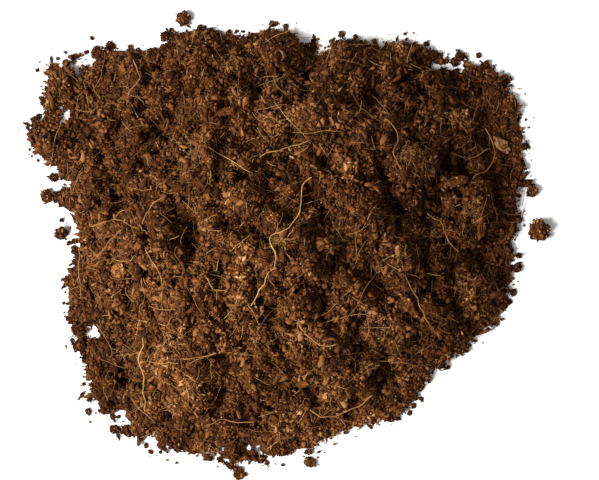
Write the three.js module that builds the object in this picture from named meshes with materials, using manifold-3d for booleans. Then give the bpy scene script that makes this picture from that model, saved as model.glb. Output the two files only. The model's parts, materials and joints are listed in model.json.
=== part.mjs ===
// A heap of ground coconut husk, as tipped out on a table: pith crumbs caked into clods, with coir
// fibres and flakes of husk lying on it and stray clods round its foot. Millimetres, +Z up. The heap
// lies on the plane z = 0, and the origin is the middle of its bounding box on that plane.
import * as THREE from "three";
import { mergeVertices } from "three/addons/utils/BufferGeometryUtils.js";
import Module from "manifold-3d";

const wasm = await Module();
wasm.setup();

// Driving dimensions
const HEAP_HEIGHT = 32; // the crest, under its crumbs
const SLOPE_ROUNDING = 1.8; // 1 is a straight cone, more gives a rounder crest
const RIM_HEIGHT = 1.4; // the thin edge of the heap, under its crumbs
const RINGS = 38; // rings of surface points from the crest to the rim, each with six more than the last
const RIM_SAMPLES = 720;
const RIM_FOLLOWING = 4; // the higher, the fewer of the outer rings follow the rim's wanderings
const SMOOTHING_ANGLE = 0.5; // the larger slope ignores wanderings of the rim within this many radians
const SCALLOP_DEPTH = 1.1; // how far single crumbs push the rim in and out
const SCALLOPS = [31, 47, 68]; // how many such waves run round the rim
const SLOPE_TAPER = { from: -3, to: 14 }; // the slope thins out between these distances inside the rim
const LUMP_TAPER = { from: -2, to: 6 }; // and so do the lumps on it
const CRUMB_COUNT = 560;
const CRUMB_RADIUS = { least: 2.3, most: 4.6 };
const CRUMB_SINK = { least: -0.25, most: 0.5 }; // how deep a crumb's middle lies, in its radii
const CRUMB_SCATTER = { along: 0.4, turn: 0.03 }; // how far crumbs stray from an even spiral
const CRUMB_STEEPNESS = 1.2; // how much taller than a ball's cap a crumb stands out
const CLOD_SINK = 0.2;
const CLOD_STEEPNESS = 0.95;
const HOLLOW_DEPTH = 0.95; // in radii of the hollow
const GRIT = 0.45; // the roughness of one crumb's own surface
const STRAY_RAGGEDNESS = 0.22; // how far a stray clod's corners move in or out, in radii
const STRAY_FLATTENING = 0.95; // its height against its width
const STRAY_RISE = 0.45; // the height of a stray clod's middle over the table, in radii
const CAKED_CRUMBS = { count: 5, reach: 0.7, least: 0.35, most: 0.5 }; // crumbs on it, in its radii
const FIBRE_RADIUS = 0.42;
const FIBRE_SIDES = 5;
const FIBRE_STEP = 2.6;
const FIBRE_KINK = 0.5; // how far a fibre strays sideways from its line at each step
const TIGHTENING_PASSES = 8; // how far a fibre is drawn straight over the hollows
const FLAKE_THICKNESS = 0.9;
const FLAKE_TEAR = 0.22; // how far a corner of the outline moves in or out
const FLAKE_PROBES = 4; // places each way from a flake's middle where the crumbs under it are felt for
const GAP = 0.35; // air between a loose piece and what it lies on
const GOLDEN_ANGLE = Math.PI * (3 - Math.sqrt(5));

// The heap's outline on the table, anticlockwise from the right, as its clods make it wander in and out.
const OUTLINE = [
  [70, 11], [70.8, 32.8], [67, 46.6], [58.8, 52], [47, 54.6], [37.5, 59.6], [28, 57.6], [19.4, 60],
  [9.8, 55], [2.5, 62], [-3.5, 63], [-13.7, 60.6], [-27.2, 62.6], [-40.7, 56.4], [-55.7, 56.8],
  [-71.5, 51], [-70.5, 40], [-77, 31.5], [-74.5, 27.5], [-67.5, 20.5], [-65.5, 11], [-60.5, 0],
  [-64.5, -15.6], [-60, -34], [-54.5, -50], [-41, -60.6], [-25, -63.6], [-11, -65.8], [5.9, -62.4],
  [19.4, -56.4], [37.5, -49.5], [42.5, -41], [56.4, -29.6], [66, -19.5], [68, -6],
];
const CREST = new THREE.Vector2(-6, -2);

// Caked clods that stand out of the heap: the place of each in plan, its radius, and how deep its middle
// lies if it isn't the usual share of the radius.
const CLODS = [
  { x: -28, y: -27, radius: 20, sink: 0.52 },
  { x: 37, y: 17, radius: 8.5 },
  { x: 24, y: 8, radius: 8.5 },
  { x: -38, y: -1, radius: 9 },
  { x: -26, y: 19, radius: 9 },
  { x: -12, y: 11, radius: 7 },
  { x: 1, y: 16, radius: 7 },
  { x: 2, y: -5, radius: 8.5 },
  { x: 33, y: -8, radius: 7 },
  { x: 11, y: -33, radius: 8 },
  { x: -53, y: -43, radius: 7 },
  { x: 58, y: 42, radius: 8.5 },
  { x: 19, y: 54, radius: 7 },
  { x: -1, y: 56, radius: 7.5 },
  { x: -26, y: 57, radius: 6.5 },
  { x: 35, y: 54, radius: 6 },
  { x: -65, y: 45, radius: 6.5 },
  { x: -69, y: 30, radius: 6 },
  { x: -60, y: 14, radius: 6 },
  { x: -59, y: -21, radius: 6.5 },
  { x: 60, y: -16, radius: 7.5 },
  { x: -18, y: 40, radius: 8 },
  { x: 12, y: 35, radius: 7 },
  { x: 45, y: -27, radius: 7 },
];

// Hollows left between the clods: the place of each in plan, and its radius.
const HOLLOWS = [
  { x: -26, y: -3, radius: 8 },
  { x: -36, y: 30, radius: 7 },
  { x: -45, y: -37, radius: 6.5 },
  { x: 51, y: 22, radius: 7 },
  { x: 43, y: 7, radius: 6.5 },
  { x: 20, y: -24, radius: 6.5 },
  { x: 29, y: -40, radius: 6 },
  { x: -10, y: 27, radius: 6.5 },
  { x: 12, y: 22, radius: 5.5 },
];

// Clods that rolled clear of the foot: place in plan and radius.
const STRAY_CLODS = [
  { x: 76.6, y: 3, radius: 3.5 },
  { x: 74.5, y: 14.5, radius: 1.9 },
  { x: -30, y: 66.4, radius: 2.4 },
  { x: -70.8, y: 13, radius: 2.1 },
  { x: -66.4, y: 2, radius: 2 },
  { x: -13, y: -69.6, radius: 2.1 },
  { x: 8, y: -66.2, radius: 1.9 },
];

// Each fibre's line in plan, end to end. The first is the long kinked one across the middle.
const FIBRES = [
  [
    [8.5, 16.5], [5.5, 9.5], [2.5, 3], [-3.5, -1.5], [-1.5, -6], [-1, -9], [-4.5, -11], [-6, -15.5],
    [-9, -20],
  ],
  [[-55, 2], [-51, 4.5], [-44.5, 4.8], [-42.5, 2]],
  [[-40, 3], [-38, 8], [-34, 11.5]],
  [[-55.5, -7], [-51, -1.5], [-46, 2]],
  [[-39, -3.5], [-35.5, -10], [-34, -16], [-33.5, -21]],
  [[-40, -29], [-41.5, -37], [-40, -43], [-41, -51]],
  [[-29, -34], [-24, -34.6], [-19, -34]],
  [[5, -26], [10, -30.5], [15.5, -31]],
  [[20, -17], [23.5, -20], [25, -24.5], [24.2, -30]],
  [[34, -10], [36.5, -13], [39, -18], [43, -27]],
  [[-7, 22.5], [-2, 24.6], [3, 27], [7, 27.5]],
  [[60, 33], [62.5, 26.5], [60.5, 21], [55.5, 17]],
  [[30, 35], [33.5, 29], [32, 24], [34, 19]],
  [[-44, 54], [-42.5, 47], [-45, 41]],
  [[-22, -55], [-15, -52.5], [-8, -54]],
  [[8, -51], [15, -52.6], [22, -49], [27, -46.4]],
  [[-55, -24], [-51, -31], [-49, -38]],
  [[42, 8], [46.5, 4], [48.5, -1.5], [52, -4]],
];

// Flakes of husk lying on the heap: place, length, width and the way the length points, in degrees.
const FLAKES = [
  { x: 65, y: 28.5, length: 5.8, width: 3, heading: -40 },
  { x: -47.5, y: -9.6, length: 5.2, width: 3.8, heading: 15 },
  { x: 51, y: 16.5, length: 6.5, width: 2.8, heading: 12 },
  { x: -22, y: 22.5, length: 5.5, width: 2.3, heading: -62 },
  { x: 37, y: -20, length: 7.5, width: 2.5, heading: -58 },
  { x: 58, y: 3, length: 6.5, width: 2.8, heading: 80 },
  { x: 5, y: -42, length: 6.5, width: 2.7, heading: -25 },
  { x: -16.5, y: 36, length: 6, width: 2.5, heading: 20 },
];
// A flake's outline, in halves of its length and width. Each flake is torn a little differently.
const FLAKE_OUTLINE = [
  [-1, 0.1], [-0.55, -0.7], [0.15, -1], [0.9, -0.55], [1, 0.35], [0.35, 1], [-0.5, 0.75],
];

const PITH = new THREE.MeshStandardMaterial({ color: 0x5a3319, roughness: 0.95, metalness: 0 });
const FIBRE = new THREE.MeshStandardMaterial({ color: 0xa9793f, roughness: 0.7, metalness: 0 });
const HUSK = new THREE.MeshStandardMaterial({ color: 0x85502a, roughness: 0.85, metalness: 0 });

// A seeded stream of numbers from 0 to 1, the same on every run.
function randomStream(seed) {
  let state = seed;
  return () => {
    state = (state + 0x6d2b79f5) | 0;
    let mixed = Math.imul(state ^ (state >>> 15), 1 | state);
    mixed = (mixed + Math.imul(mixed ^ (mixed >>> 7), 61 | mixed)) ^ mixed;
    return ((mixed ^ (mixed >>> 14)) >>> 0) / 4294967296;
  };
}
const random = randomStream(20);
const between = (low, high) => low + (high - low) * random();

// A closed geometry as a solid that can be joined and cut.
function solidOf(geometry) {
  const bare = new THREE.BufferGeometry();
  bare.setAttribute("position", geometry.getAttribute("position"));
  if (geometry.index) bare.setIndex(geometry.index);
  const merged = mergeVertices(bare, 1e-4);
  const mesh = new wasm.Mesh({
    numProp: 3,
    vertProperties: merged.attributes.position.array,
    triVerts: new Uint32Array(merged.index.array),
  });
  return new wasm.Manifold(mesh);
}

// A solid's own geometry, without the scraps and sealed hollows that joining may leave.
function geometryOf(solid) {
  const whole = solid.decompose().sort((a, b) => b.volume() - a.volume())[0];
  const mesh = whole.getMesh();
  const geometry = new THREE.BufferGeometry();
  geometry.setAttribute("position", new THREE.BufferAttribute(mesh.vertProperties, 3));
  geometry.setIndex(new THREE.BufferAttribute(mesh.triVerts, 1));
  return geometry;
}

function meshOf(name, geometry, material) {
  geometry.computeVertexNormals();
  const mesh = new THREE.Mesh(geometry, material);
  mesh.name = name;
  return mesh;
}

// The outline's distance from the crest, for a direction in plan.
const rim = new THREE.CatmullRomCurve3(
  OUTLINE.map(([x, y]) => new THREE.Vector3(x - CREST.x, y - CREST.y, 0)),
  true,
);
const rimPoints = rim.getPoints(RIM_SAMPLES).map((point) => ({
  angle: Math.atan2(point.y, point.x),
  radius: point.length(),
}));
const scallopStarts = SCALLOPS.map(() => between(0, 2 * Math.PI));
function rimRadius(angle) {
  const wrapped = Math.atan2(Math.sin(angle), Math.cos(angle));
  let nearest = rimPoints[0];
  for (const point of rimPoints) {
    if (Math.abs(point.angle - wrapped) < Math.abs(nearest.angle - wrapped)) nearest = point;
  }
  const waves = SCALLOPS.map((count, i) => Math.sin(count * wrapped + scallopStarts[i]));
  const wave = waves.reduce((sum, height) => sum + height) / SCALLOPS.length;
  return nearest.radius + SCALLOP_DEPTH * wave;
}

function smoothRimRadius(angle) {
  const offsets = [-1, -0.5, 0, 0.5, 1].map((share) => share * SMOOTHING_ANGLE);
  return offsets.reduce((sum, offset) => sum + rimRadius(angle + offset), 0) / offsets.length;
}

// A point in plan, a share of the way from the crest to the rim.
function ringPoint(share, angle) {
  const reach = THREE.MathUtils.lerp(smoothRimRadius(angle), rimRadius(angle), share ** RIM_FOLLOWING);
  return new THREE.Vector2(Math.cos(angle), Math.sin(angle)).multiplyScalar(share * reach).add(CREST);
}

// From 0 outside the rim to 1 well inside it, for a point in plan.
function rimTaper({ x, y }, { from, to }) {
  const inside = rimRadius(Math.atan2(y - CREST.y, x - CREST.x)) - Math.hypot(x - CREST.x, y - CREST.y);
  return THREE.MathUtils.smoothstep(inside, from, to);
}

// The height of the bare slope over a point in plan.
function slopeHeight(at) {
  const angle = Math.atan2(at.y - CREST.y, at.x - CREST.x);
  const distance = Math.hypot(at.x - CREST.x, at.y - CREST.y);
  const fall = Math.min(1, distance / smoothRimRadius(angle)) ** SLOPE_ROUNDING;
  return RIM_HEIGHT + (HEAP_HEIGHT - RIM_HEIGHT) * (1 - fall) * rimTaper(at, SLOPE_TAPER);
}

// How far the tallest of some round lumps stands out over a point in plan.
function riseOf(lumps, at) {
  let rise = 0;
  for (const { x, y, radius, sink } of lumps) {
    const spread = Math.hypot(at.x - x, at.y - y) / radius;
    if (spread < 1) rise = Math.max(rise, radius * (Math.sqrt(1 - spread ** 2) - sink));
  }
  return rise;
}

// How deep the hollows go under a point in plan.
function hollowDepth(at) {
  let depth = 0;
  for (const { x, y, radius } of HOLLOWS) {
    const spread = Math.min(1, Math.hypot(at.x - x, at.y - y) / radius);
    depth = Math.max(depth, HOLLOW_DEPTH * radius * (1 - spread ** 2));
  }
  return depth;
}

// The surface of the heap: clods and hollows on the slope, and crumbs all over them.
const clods = CLODS.map((clod) => ({ sink: CLOD_SINK, ...clod }));
function crumbledHeight(at, crumbs) {
  const lumps = CLOD_STEEPNESS * riseOf(clods, at) + CRUMB_STEEPNESS * riseOf(crumbs, at);
  const relief = lumps - hollowDepth(at);
  const height = slopeHeight(at) + relief * rimTaper(at, LUMP_TAPER) + between(-GRIT, GRIT);
  return Math.max(RIM_HEIGHT, height);
}

// Crumbs cover the heap along a sunflower's spiral, each strayed a little from it.
function surfaceCrumbs() {
  const crumbs = [];
  for (let i = 0; i < CRUMB_COUNT; i++) {
    const { along, turn } = CRUMB_SCATTER;
    const share = Math.sqrt((i + 0.5 + between(-along, along)) / CRUMB_COUNT);
    const { x, y } = ringPoint(share, i * GOLDEN_ANGLE + between(-turn, turn));
    const radius = between(CRUMB_RADIUS.least, CRUMB_RADIUS.most);
    crumbs.push({ x, y, radius, sink: between(CRUMB_SINK.least, CRUMB_SINK.most) });
  }
  return crumbs;
}

// The heap: the crumbled surface in rings round the crest, the rim's wall and a flat base on the table.
function pithHeap() {
  const crumbs = surfaceCrumbs();
  const ringStart = (ring) => (ring === 0 ? 0 : 1 + 3 * ring * (ring - 1));
  const onRing = (ring, i) => (ring === 0 ? 0 : ringStart(ring) + (i % (6 * ring)));
  const points = [];
  for (let ring = 0; ring <= RINGS; ring++) {
    const count = Math.max(1, 6 * ring);
    for (let i = 0; i < count; i++) {
      const at = ringPoint(ring / RINGS, (2 * Math.PI * i) / count);
      points.push(new THREE.Vector3(at.x, at.y, crumbledHeight(at, crumbs)));
    }
  }
  const triangles = [];
  for (let ring = 1; ring <= RINGS; ring++) {
    for (let i = 0; i < 6 * ring; i++) {
      const sixth = Math.floor(i / ring);
      const inner = i - sixth;
      triangles.push(onRing(ring - 1, inner), onRing(ring, i), onRing(ring, i + 1));
      if (i % ring < ring - 1) {
        triangles.push(onRing(ring - 1, inner), onRing(ring, i + 1), onRing(ring - 1, inner + 1));
      }
    }
  }
  const rimCount = 6 * RINGS;
  const footStart = points.length;
  for (let i = 0; i < rimCount; i++) {
    points.push(points[onRing(RINGS, i)].clone().setZ(0));
  }
  const baseMiddle = points.push(new THREE.Vector3(CREST.x, CREST.y, 0)) - 1;
  for (let i = 0; i < rimCount; i++) {
    const next = (i + 1) % rimCount;
    triangles.push(onRing(RINGS, i), footStart + i, footStart + next);
    triangles.push(onRing(RINGS, i), footStart + next, onRing(RINGS, next));
    triangles.push(baseMiddle, footStart + next, footStart + i);
  }
  const geometry = new THREE.BufferGeometry().setFromPoints(points);
  geometry.setIndex(triangles);
  return geometry;
}

// An angular lump: a regular body with its corners pushed in and out, flattened and turned at random.
function angularLump(regularBody, centre, radius) {
  const bare = regularBody.clone();
  bare.deleteAttribute("normal");
  bare.deleteAttribute("uv");
  const geometry = mergeVertices(bare, 1e-4);
  const corners = geometry.getAttribute("position");
  const corner = new THREE.Vector3();
  for (let i = 0; i < corners.count; i++) {
    const reach = radius * (1 + between(-STRAY_RAGGEDNESS, STRAY_RAGGEDNESS));
    corner.fromBufferAttribute(corners, i).multiplyScalar(reach);
    corners.setXYZ(i, corner.x, corner.y, corner.z);
  }
  const turn = new THREE.Euler(between(0, Math.PI), between(0, Math.PI), between(0, Math.PI));
  geometry.applyMatrix4(new THREE.Matrix4().makeRotationFromEuler(turn));
  geometry.scale(1, 1, STRAY_FLATTENING);
  geometry.translate(centre.x, centre.y, centre.z);
  return solidOf(geometry);
}
const LARGE_BODY = new THREE.IcosahedronGeometry(1);
const SMALL_BODY = new THREE.OctahedronGeometry(1);

// Everything under the table's surface is cut away, so that a stray clod sits flat on it.
const UNDER_TABLE = solidOf(new THREE.BoxGeometry(400, 400, 60).translate(0, 0, -30));

// A stray clod: one lump with smaller crumbs caked round it, flat where it lies on the table.
function strayClod({ x, y, radius }) {
  const middle = new THREE.Vector3(x, y, radius * STRAY_RISE);
  let clod = angularLump(LARGE_BODY, middle, radius);
  const { count, reach, least, most } = CAKED_CRUMBS;
  for (let i = 0; i < count; i++) {
    const angle = (2 * Math.PI * i) / count + between(-0.3, 0.3);
    const side = new THREE.Vector3(Math.cos(angle), Math.sin(angle), between(0, 0.6));
    const centre = side.multiplyScalar(radius * reach).add(middle);
    clod = clod.add(angularLump(SMALL_BODY, centre, radius * between(least, most)));
  }
  return geometryOf(clod.subtract(UNDER_TABLE));
}

// The heap's top surface, read by a ray straight down. Off the heap it is the table.
const heapMesh = meshOf("pith_heap", pithHeap(), PITH);
const ray = new THREE.Raycaster();
const DOWN = new THREE.Vector3(0, 0, -1);
const RAY_START = 200;
function surfaceHeight(x, y) {
  ray.set(new THREE.Vector3(x, y, RAY_START), DOWN);
  const hit = ray.intersectObject(heapMesh)[0];
  return hit ? hit.point.z : 0;
}
function highestNear(x, y, reach) {
  let highest = 0;
  for (const dx of [-reach, 0, reach]) {
    for (const dy of [-reach, 0, reach]) {
      highest = Math.max(highest, surfaceHeight(x + dx, y + dy));
    }
  }
  return highest;
}

// A fibre lies on the highest crumbs along its line and spans the hollows between them.
function fibreOnHeap(plan) {
  const line = new THREE.CatmullRomCurve3(plan.map(([x, y]) => new THREE.Vector3(x, y, 0)));
  const steps = Math.ceil(line.getLength() / FIBRE_STEP);
  const points = line.getSpacedPoints(steps);
  for (const point of points) {
    point.x += between(-FIBRE_KINK, FIBRE_KINK);
    point.y += between(-FIBRE_KINK, FIBRE_KINK);
  }
  const floor = points.map((p) => highestNear(p.x, p.y, FIBRE_STEP / 2) + FIBRE_RADIUS + GAP);
  let heights = floor;
  for (let pass = 0; pass < TIGHTENING_PASSES; pass++) {
    heights = heights.map((height, i) => {
      const spanned = (heights[Math.max(0, i - 1)] + heights[Math.min(steps, i + 1)]) / 2;
      return Math.max(floor[i], spanned);
    });
  }
  points.forEach((p, i) => p.setZ(heights[i]));
  const section = new THREE.Shape();
  for (let side = 0; side < FIBRE_SIDES; side++) {
    const angle = (2 * Math.PI * side) / FIBRE_SIDES;
    const corner = [FIBRE_RADIUS * Math.cos(angle), FIBRE_RADIUS * Math.sin(angle)];
    if (side === 0) section.moveTo(...corner);
    else section.lineTo(...corner);
  }
  const extrudePath = new THREE.CatmullRomCurve3(points);
  return new THREE.ExtrudeGeometry(section, { extrudePath, steps });
}

// A flake: a thin plate with a torn outline, tilted as the slope under it and lifted clear of the crumbs.
function flakeOnHeap({ x, y, length, width, heading }) {
  const tear = () => 1 + between(-FLAKE_TEAR, FLAKE_TEAR);
  const outline = new THREE.Shape(
    FLAKE_OUTLINE.map(([u, v]) => new THREE.Vector2((u * tear() * length) / 2, (v * tear() * width) / 2)),
  );
  const geometry = new THREE.ExtrudeGeometry(outline, { depth: FLAKE_THICKNESS, bevelEnabled: false });
  const here = new THREE.Vector3(x, y, slopeHeight({ x, y }));
  const reach = length / 2;
  const slopeX = (slopeHeight({ x: x + reach, y }) - slopeHeight({ x: x - reach, y })) / length;
  const slopeY = (slopeHeight({ x, y: y + reach }) - slopeHeight({ x, y: y - reach })) / length;
  const normal = new THREE.Vector3(-slopeX, -slopeY, 1).normalize();
  const turn = new THREE.Matrix4().makeRotationZ(THREE.MathUtils.degToRad(heading));
  const lean = new THREE.Quaternion().setFromUnitVectors(new THREE.Vector3(0, 0, 1), normal);
  const place = new THREE.Matrix4().makeRotationFromQuaternion(lean).multiply(turn);
  geometry.applyMatrix4(place);
  geometry.translate(here.x, here.y, here.z);
  let lift = -Infinity;
  const probe = new THREE.Vector3();
  for (let i = -FLAKE_PROBES; i <= FLAKE_PROBES; i++) {
    for (let j = -FLAKE_PROBES; j <= FLAKE_PROBES; j++) {
      probe.set((i * length) / 2, (j * width) / 2, 0).multiplyScalar((1 + FLAKE_TEAR) / FLAKE_PROBES);
      probe.applyMatrix4(place).add(here);
      lift = Math.max(lift, surfaceHeight(probe.x, probe.y) - probe.z);
    }
  }
  geometry.translate(0, 0, lift + GAP);
  return geometry;
}

const pieces = [heapMesh];
const numbered = (kind, i) => `${kind}_${String(i + 1).padStart(2, "0")}`;
STRAY_CLODS.forEach((clod, i) => pieces.push(meshOf(numbered("stray_clod", i), strayClod(clod), PITH)));
FIBRES.forEach((plan, i) => pieces.push(meshOf(numbered("coir_fibre", i), fibreOnHeap(plan), FIBRE)));
FLAKES.forEach((flake, i) => pieces.push(meshOf(numbered("husk_flake", i), flakeOnHeap(flake), HUSK)));

// All pieces move together, so that the bounding box's middle comes over the origin.
const heapOfHusk = new THREE.Group();
heapOfHusk.add(...pieces);
const middle = new THREE.Box3().setFromObject(heapOfHusk).getCenter(new THREE.Vector3());
heapOfHusk.position.set(-middle.x, -middle.y, 0);

export default heapOfHusk;
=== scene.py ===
# %% [markdown]
# # A heap of ground coconut husk
# The husk of a coconut is ground into coir pith: spongy brown crumbs, with the husk's fibres and torn
# flakes left among them. This lesson dresses a heap of it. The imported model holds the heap's form, the
# stray clods, the larger fibres and the flakes, and Blender adds what makes it look like pith: tens of
# thousands of grains, chips and hairs, all spread over that form by seeded rules.

# %% Load the frame
import json
import math
import random

import bpy
from mathutils import Matrix, Vector
from mathutils.kdtree import KDTree

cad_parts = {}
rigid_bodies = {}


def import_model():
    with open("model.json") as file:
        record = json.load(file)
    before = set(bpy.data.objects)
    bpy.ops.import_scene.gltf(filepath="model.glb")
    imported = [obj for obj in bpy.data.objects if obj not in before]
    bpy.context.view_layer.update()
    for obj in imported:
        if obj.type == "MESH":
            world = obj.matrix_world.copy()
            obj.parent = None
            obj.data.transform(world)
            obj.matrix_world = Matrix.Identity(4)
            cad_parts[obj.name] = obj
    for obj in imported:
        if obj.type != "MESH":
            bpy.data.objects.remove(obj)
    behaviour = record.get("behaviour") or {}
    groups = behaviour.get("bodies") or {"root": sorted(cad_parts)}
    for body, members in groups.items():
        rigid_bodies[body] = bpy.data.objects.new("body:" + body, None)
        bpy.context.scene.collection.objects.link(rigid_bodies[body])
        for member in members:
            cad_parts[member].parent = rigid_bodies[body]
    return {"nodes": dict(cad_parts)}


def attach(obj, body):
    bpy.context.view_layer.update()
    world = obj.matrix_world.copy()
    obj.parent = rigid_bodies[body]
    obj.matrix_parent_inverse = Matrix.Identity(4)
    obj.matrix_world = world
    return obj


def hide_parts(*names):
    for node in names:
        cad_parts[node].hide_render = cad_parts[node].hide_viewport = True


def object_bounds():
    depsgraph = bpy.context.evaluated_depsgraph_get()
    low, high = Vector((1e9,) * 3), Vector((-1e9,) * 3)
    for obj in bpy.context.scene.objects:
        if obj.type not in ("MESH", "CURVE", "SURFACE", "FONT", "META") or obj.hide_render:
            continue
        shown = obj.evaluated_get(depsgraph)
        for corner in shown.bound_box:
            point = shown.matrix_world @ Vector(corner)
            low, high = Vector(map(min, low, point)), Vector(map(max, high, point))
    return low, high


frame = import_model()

MM = 0.001
cad_low, cad_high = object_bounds()
print("solids from", tuple(cad_low), "to", tuple(cad_high))

# %% [markdown]
# ## Camera
# The heap was seen from almost straight above, a little from its near side. A long lens three quarters
# of a metre away keeps the crest from swelling towards us. The picture is 599 by 480 pixels, and one
# pixel is about 0.3 mm on the heap, so the distance and the picture's width give the focal length.

# %% Camera
PICTURE = (599, 480)
PIXEL = 0.297 * MM
PICTURE_MIDDLE = Vector((3.2, 1.2, 6.0)) * MM
CAMERA_ELEVATION = math.radians(88)
CAMERA_DISTANCE = 0.75

towards_camera = Vector((0, -math.cos(CAMERA_ELEVATION), math.sin(CAMERA_ELEVATION)))
bpy.ops.object.camera_add(location=PICTURE_MIDDLE + CAMERA_DISTANCE * towards_camera)
camera = bpy.context.object
camera.rotation_euler = (-towards_camera).to_track_quat("-Z", "Y").to_euler()
camera.data.lens = camera.data.sensor_width * CAMERA_DISTANCE / (PICTURE[0] * PIXEL)
bpy.context.scene.camera = camera
print("camera lens", round(camera.data.lens, 1), "mm")

# %% [markdown]
# ## Node helper
# Materials and scatter rules are both node trees. One helper adds a node, sets its options, and fills
# each named input with a number or with a link from another node's output. Some nodes keep several
# sockets of one name and show only one of them, so the helper takes the one that is shown.

# %% Node helper
def shown(sockets, name):
    return next(socket for socket in sockets if socket.enabled and socket.name == name)


def add_node(tree, kind, inputs=None, **options):
    node = tree.nodes.new(kind)
    for option, value in options.items():
        setattr(node, option, value)
    for name, value in (inputs or {}).items():
        socket = node.inputs[name] if isinstance(name, int) else shown(node.inputs, name)
        if isinstance(value, bpy.types.NodeSocket):
            tree.links.new(value, socket)
        else:
            socket.default_value = value
    return node


def choose(piece):
    bpy.ops.object.select_all(action="DESELECT")
    piece.select_set(True)
    bpy.context.view_layer.objects.active = piece


print("helpers ready")

# %% [markdown]
# ## Floor and light
# The heap lies on a plain white surface. Soft light comes from the left, halfway up the sky and a bit
# from the near side, so each grain has a lit side and a dark one, and the right flank is shaded. A pale sky
# fills the shadows only a little: the pits between the clods stay nearly black.

# %% Floor and light
FLOOR_SIZE = 3.0
FLOOR_WHITE = (0.92, 0.92, 0.92, 1)
SKY_STRENGTH = 0.4
KEY_PLACE = Vector((-0.5, -0.15, 0.63))
KEY_SIZE = 0.3
KEY_POWER = 14

bpy.ops.object.select_all(action="DESELECT")
bpy.ops.mesh.primitive_plane_add(size=FLOOR_SIZE)
floor = bpy.context.object
floor.name = "table_top"
white = bpy.data.materials.new("white table")
white.use_nodes = True
white_shader = white.node_tree.nodes["Principled BSDF"]
white_shader.inputs["Base Color"].default_value = FLOOR_WHITE
white_shader.inputs["Roughness"].default_value = 0.8
floor.data.materials.append(white)

bpy.ops.object.light_add(type="AREA", location=KEY_PLACE)
key = bpy.context.object
key.rotation_euler = (-KEY_PLACE).to_track_quat("-Z", "Y").to_euler()
key.data.energy = KEY_POWER
key.data.size = KEY_SIZE

scene = bpy.context.scene
scene.view_settings.view_transform = "Standard"
sky = bpy.data.worlds.new("pale sky")
sky.use_nodes = True
sky.node_tree.nodes["Background"].inputs["Strength"].default_value = SKY_STRENGTH
sky.node_tree.nodes["Background"].inputs["Color"].default_value = (1, 1, 1, 1)
scene.world = sky
print("floor and light set")

# %% [markdown]
# ## Shared finishes
# Four effects are node groups that the materials below draw on. Paleness and painted light: pith dries in
# patches and turns paler, and it is paler still on the crown and on the big clod at the near left. At the
# near and far foot a paler colour is painted light, and on the right flank a darker colour is painted
# shade. Each of these places has a middle, the distances at which it starts and stops fading, and a
# share. Sponge: every grain is spongy, so its surface is pitted at a fraction of a millimetre.
# Streaks: husk splits along its fibres, so chips and flakes are streaked lengthwise, as told by the
# attribute that holds each chip's own coordinates. Mottle: grains that cake together are of one kind, so
# the tint of pith drifts over some millimetres, with a finer change from grain to grain on top. All but
# the streaks read Object coordinates, which stay put because every piece sits at the origin.

# %% Shared finishes
# The crown and the near left clod are paler pith; the near and far foot get painted light, the right flank
# painted shade.
PALER_AND_PAINTED_LIGHT_PLACES = {
    "crown": (Vector((2, -6, 34)) * MM, 14 * MM, 52 * MM, 0.5),
    "near left clod": (Vector((-33, -29, 17)) * MM, 14 * MM, 33 * MM, 0.36),
    "painted light at near foot": (Vector((-2, -60, 3)) * MM, 10 * MM, 34 * MM, 0.4),
    "painted light at far foot": (Vector((-8, 52, 8)) * MM, 12 * MM, 36 * MM, 0.16),
    "painted shade on right flank": (Vector((56, 2, 12)) * MM, 15 * MM, 45 * MM, -0.4),
}
KINSHIP = 0.4
KIN_SCALE = 120.0
KIN_RANGE = (0.32, 0.68)
GRAIN_SCALE = 1300.0
DRY_PATCH_SCALE = 45.0
PIT_SCALE = 2600.0
STREAK_SCALES = (350, 3200, 3200)


def new_group(name, inputs, outputs):
    group = bpy.data.node_groups.new(name, "ShaderNodeTree")
    for socket, value in inputs.items():
        made = group.interface.new_socket(socket, in_out="INPUT", socket_type="NodeSocketFloat")
        made.default_value = value
    for socket in outputs:
        group.interface.new_socket(socket, in_out="OUTPUT", socket_type="NodeSocketFloat")
    return group, group.nodes.new("NodeGroupInput"), group.nodes.new("NodeGroupOutput")


paleness_and_painted_light, drying_in, drying_out = new_group("paleness_and_painted_light", {"Scale": DRY_PATCH_SCALE}, ["Dryness"])
place = add_node(paleness_and_painted_light, "ShaderNodeTexCoord").outputs["Object"]
patches = add_node(paleness_and_painted_light, "ShaderNodeTexNoise", {
    "Vector": place, "Scale": drying_in.outputs["Scale"], "Detail": 3.0, "Roughness": 0.6,
})
spread = add_node(paleness_and_painted_light, "ShaderNodeMapRange", {
    "Value": patches.outputs["Fac"], "From Min": 0.4, "From Max": 0.7, "To Max": 0.5,
})
paleness_sum = spread
# Each place adds its share of paleness: painted light at the feet, painted shade on the right flank.
for middle, full_within, faded_beyond, share in PALER_AND_PAINTED_LIGHT_PLACES.values():
    away = add_node(paleness_and_painted_light, "ShaderNodeVectorMath", {0: place, 1: middle}, operation="DISTANCE")
    near = add_node(paleness_and_painted_light, "ShaderNodeMapRange", {
        "Value": away.outputs["Value"], "From Min": full_within, "From Max": faded_beyond,
        "To Min": share, "To Max": 0.0,
    })
    paleness_sum = add_node(paleness_and_painted_light, "ShaderNodeMath", {
        0: paleness_sum.outputs[0], 1: near.outputs["Result"],
    }, operation="ADD", use_clamp=True)
paleness_and_painted_light.links.new(paleness_sum.outputs[0], drying_out.inputs["Dryness"])

sponge, sponge_in, sponge_out = new_group("sponge", {"Scale": PIT_SCALE}, ["Height"])
place = add_node(sponge, "ShaderNodeTexCoord").outputs["Object"]
pits = add_node(sponge, "ShaderNodeTexNoise", {
    "Vector": place, "Scale": sponge_in.outputs["Scale"], "Detail": 2.0, "Roughness": 0.7,
})
sponge.links.new(pits.outputs["Fac"], sponge_out.inputs["Height"])

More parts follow.
